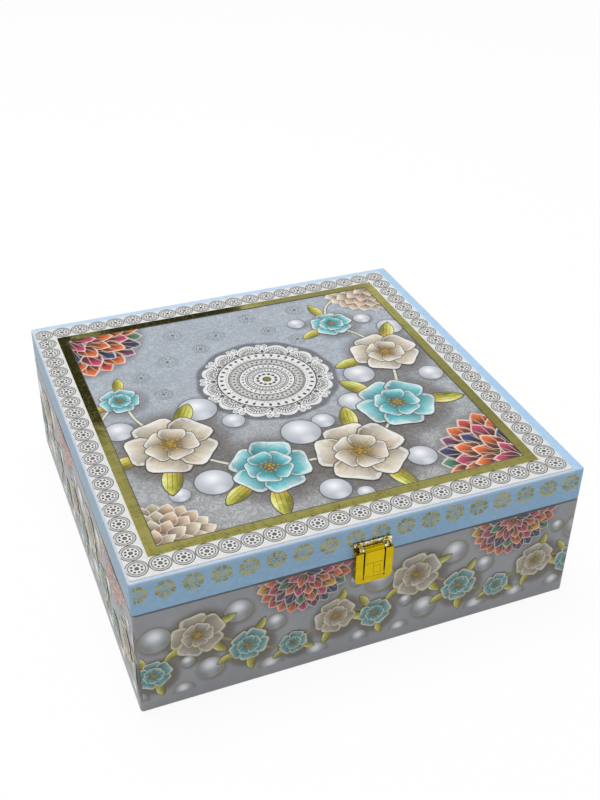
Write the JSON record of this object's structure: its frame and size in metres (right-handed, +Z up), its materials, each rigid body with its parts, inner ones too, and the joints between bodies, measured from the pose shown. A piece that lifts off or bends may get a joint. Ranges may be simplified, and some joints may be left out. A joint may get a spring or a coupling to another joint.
{
  "type": "hinged gift box",
  "caption": "Square flat hinged gift box of paper-wrapped boards, with a printed lid, a front latch flap and butt hinges at the back.",
  "frame": {"origin": "centre of the bottom sheet's underside, on the surface that the box stands on", "axes": "+Z up, +X along the front edge to the viewer's right, -Y towards the latch, +Y towards the hinges"},
  "size_m": [0.254, 0.2617, 0.0912],
  "materials": {
    "base_printed_paper": "satin printed paper",
    "lid_blue_paper": "satin coloured paper",
    "top_printed_sheet": "embossed printed paper with foil",
    "bottom_paper": "plain matte paper",
    "lining_paper": "plain matte paper",
    "fibreboard": "raw fibreboard",
    "gold_plated_steel": "polished gold plate",
    "hinge_brass_plating": "brass plate"
  },
  "bodies": {
    "base": {"base_wrap": "base_printed_paper", "base_bottom_sheet": "bottom_paper", "base_floor_lining": "lining_paper", "base_wall_lining": "lining_paper", "base_floor_board": "fibreboard", "base_front_board": "fibreboard", "base_back_board": "fibreboard", "base_left_board": "fibreboard", "base_right_board": "fibreboard", "catch_plate": "gold_plated_steel", "catch_stud": "gold_plated_steel", "catch_nail_1": "gold_plated_steel", "catch_nail_2": "gold_plated_steel", "left_hinge_base_leaf": "hinge_brass_plating", "left_hinge_base_screw_1": "hinge_brass_plating", "left_hinge_base_screw_2": "hinge_brass_plating", "left_hinge_pin": "hinge_brass_plating", "right_hinge_base_leaf": "hinge_brass_plating", "right_hinge_base_screw_1": "hinge_brass_plating", "right_hinge_base_screw_2": "hinge_brass_plating", "right_hinge_pin": "hinge_brass_plating"},
    "lid": {"lid_wrap": "lid_blue_paper", "lid_top_print": "top_printed_sheet", "lid_top_lining": "lining_paper", "lid_rail_lining": "lining_paper", "lid_top_board": "fibreboard", "lid_front_rail": "fibreboard", "lid_back_rail": "fibreboard", "lid_left_rail": "fibreboard", "lid_right_rail": "fibreboard", "latch_pin": "gold_plated_steel", "latch_plate": "gold_plated_steel", "latch_plate_nail_1": "gold_plated_steel", "latch_plate_nail_2": "gold_plated_steel", "left_hinge_lid_leaf": "hinge_brass_plating", "left_hinge_lid_screw_1": "hinge_brass_plating", "left_hinge_lid_screw_2": "hinge_brass_plating", "right_hinge_lid_leaf": "hinge_brass_plating", "right_hinge_lid_screw_1": "hinge_brass_plating", "right_hinge_lid_screw_2": "hinge_brass_plating"},
    "flap": {"latch_flap": "gold_plated_steel"}
  },
  "joints": [
    {"name": "lid_hinge", "type": "hinge", "parent": "base", "child": "lid", "pos_m": [0, 0.129, 0.0695], "axis": [-1, 0, 0], "range_deg": [0, 180]},
    {"name": "latch_hinge", "type": "hinge", "parent": "lid", "child": "flap", "pos_m": [0, -0.1288, 0.0756], "axis": [-1, 0, 0], "range_deg": [0, 110]}
  ]
}
